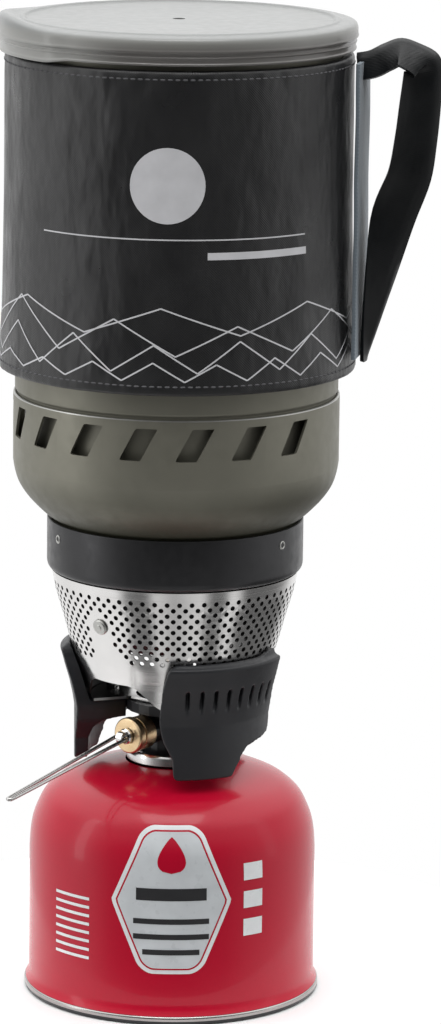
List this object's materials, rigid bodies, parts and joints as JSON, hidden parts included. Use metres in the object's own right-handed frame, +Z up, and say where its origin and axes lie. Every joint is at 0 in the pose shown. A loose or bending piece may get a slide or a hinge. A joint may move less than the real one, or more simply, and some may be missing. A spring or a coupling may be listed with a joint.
{
  "type": "canister stove",
  "caption": "Backpacking gas stove on a screw-on canister, with a perforated windproof burner, wing legs and a locking heat-exchanger pot in a cosy with lid and strap handle.",
  "frame": {"origin": "centre of the gas canister's base, on the floor", "axes": "+Z up the stove's axis, front towards -Y, pot handle towards +X"},
  "size_m": [0.1599, 0.1346, 0.3634],
  "materials": {
    "crimson_paint": "gloss enamel",
    "tinplate": "satin",
    "stainless": "bright",
    "brass": "bright turned",
    "dark_steel": "satin black coating",
    "dark_plastic": "fine texture",
    "white_plastic": "plain",
    "rubber": "matte",
    "olive_aluminium": "hard anodised, olive grey",
    "aluminium": "mill",
    "frosted_plastic": "frosted, slightly see-through",
    "cosy_fabric": "black satin weave",
    "strap_fabric": "black nylon",
    "grey_webbing": "grey webbing",
    "mesh_metal": "woven metal fibre"
  },
  "bodies": {
    "canister": {"canister_shell": "crimson_paint", "canister_base": "tinplate", "valve_cup": "tinplate", "canister_valve_housing": "white_plastic", "canister_valve_gasket": "rubber", "canister_valve_spring": "stainless"},
    "canister_stem": {"canister_valve_stem": "brass"},
    "stove_seal": {"connector_o_ring": "rubber"},
    "stove": {"canister_connector": "dark_steel", "depressor_pin": "brass", "regulator_body": "dark_steel", "regulator_spring": "stainless", "regulator_cap": "dark_steel", "fuel_jet": "brass", "packing_nut": "brass", "leg_hub": "dark_plastic", "wing_leg_1": "dark_plastic", "wing_leg_2": "dark_plastic", "wing_leg_3": "dark_plastic", "leg_screw_1": "stainless", "leg_screw_2": "stainless", "leg_screw_3": "stainless", "burner_base_plate": "stainless", "mixing_tube": "stainless", "burner_cup": "dark_steel", "diffuser_plate": "stainless", "radiant_mesh_dome": "mesh_metal", "perforated_shell": "stainless", "shell_rivet": "stainless", "collar_ring": "dark_steel"},
    "regulator_core": {"regulator_diaphragm": "rubber", "regulator_piston": "brass"},
    "spindle_seal": {"spindle_o_ring": "rubber"},
    "knob": {"needle_spindle": "brass", "control_knob": "brass", "handle_yoke": "stainless"},
    "wire_handle": {"wire_handle": "stainless"},
    "pot": {"pot_vessel": "olive_aluminium", "heat_exchanger_fins": "aluminium", "heat_exchanger_shroud": "olive_aluminium", "insulating_cosy": "cosy_fabric", "handle_backing_strip": "grey_webbing", "handle_anchor_top": "strap_fabric", "handle_anchor_bottom": "strap_fabric"},
    "strap_handle": {"handle_leg_strap": "strap_fabric", "handle_top_strap": "strap_fabric"},
    "lid": {"lid": "frosted_plastic"}
  },
  "joints": [
    {"name": "screw_travel", "type": "slide", "parent": "canister", "child": "stove_seal", "axis": [0, 0, 1], "range_m": [0, 0.00545]},
    {"name": "stove_screw", "type": "hinge", "parent": "stove_seal", "child": "stove", "pos_m": [0, 0, 0.09365], "axis": [0, 0, 1], "range_deg": [0, 2160]},
    {"name": "stem_travel", "type": "slide", "parent": "canister", "child": "canister_stem", "axis": [0, 0, 1], "range_m": [0, 0.00151], "deforming": ["canister_valve_spring"]},
    {"name": "regulator_stroke", "type": "slide", "parent": "stove", "child": "regulator_core", "axis": [0, 0, 1], "range_m": [0, 0.0002], "stiffness_N_per_m": 1100, "springref_m": -0.001, "deforming": ["regulator_spring"]},
    {"name": "spindle_travel", "type": "slide", "parent": "stove", "child": "spindle_seal", "axis": [-0.6494, -0.7604, 0], "range_m": [0, 0.00141]},
    {"name": "knob_turn", "type": "hinge", "parent": "spindle_seal", "child": "knob", "pos_m": [-0.01299, -0.01521, 0.09995], "axis": [-0.6494, -0.7604, 0], "range_deg": [0, 720]},
    {"name": "wire_fold", "type": "hinge", "parent": "knob", "child": "wire_handle", "pos_m": [-0.01864, -0.02182, 0.09995], "axis": [-0.7604, 0.6494, 0], "range_deg": [0, 78]},
    {"name": "pot_lift", "type": "slide", "parent": "stove", "child": "pot", "axis": [0, 0, 1], "range_m": [0, 0.06]},
    {"name": "handle_swing", "type": "hinge", "parent": "pot", "child": "strap_handle", "pos_m": [0.07146, -0.01389, 0.29565], "axis": [0, 0, 1], "range_deg": [-50, 50]},
    {"name": "lid_lift", "type": "slide", "parent": "pot", "child": "lid", "axis": [0, 0, 1], "range_m": [0, 0.03]}
  ],
  "couplings": [
    {"joint": "screw_travel", "follows": "stove_screw", "m_per_rad": 0.00014437},
    {"joint": "stem_travel", "follows": "stove_screw", "m_per_rad": 0.000039789},
    {"joint": "spindle_travel", "follows": "knob_turn", "m_per_rad": 0.00011141}
  ]
}
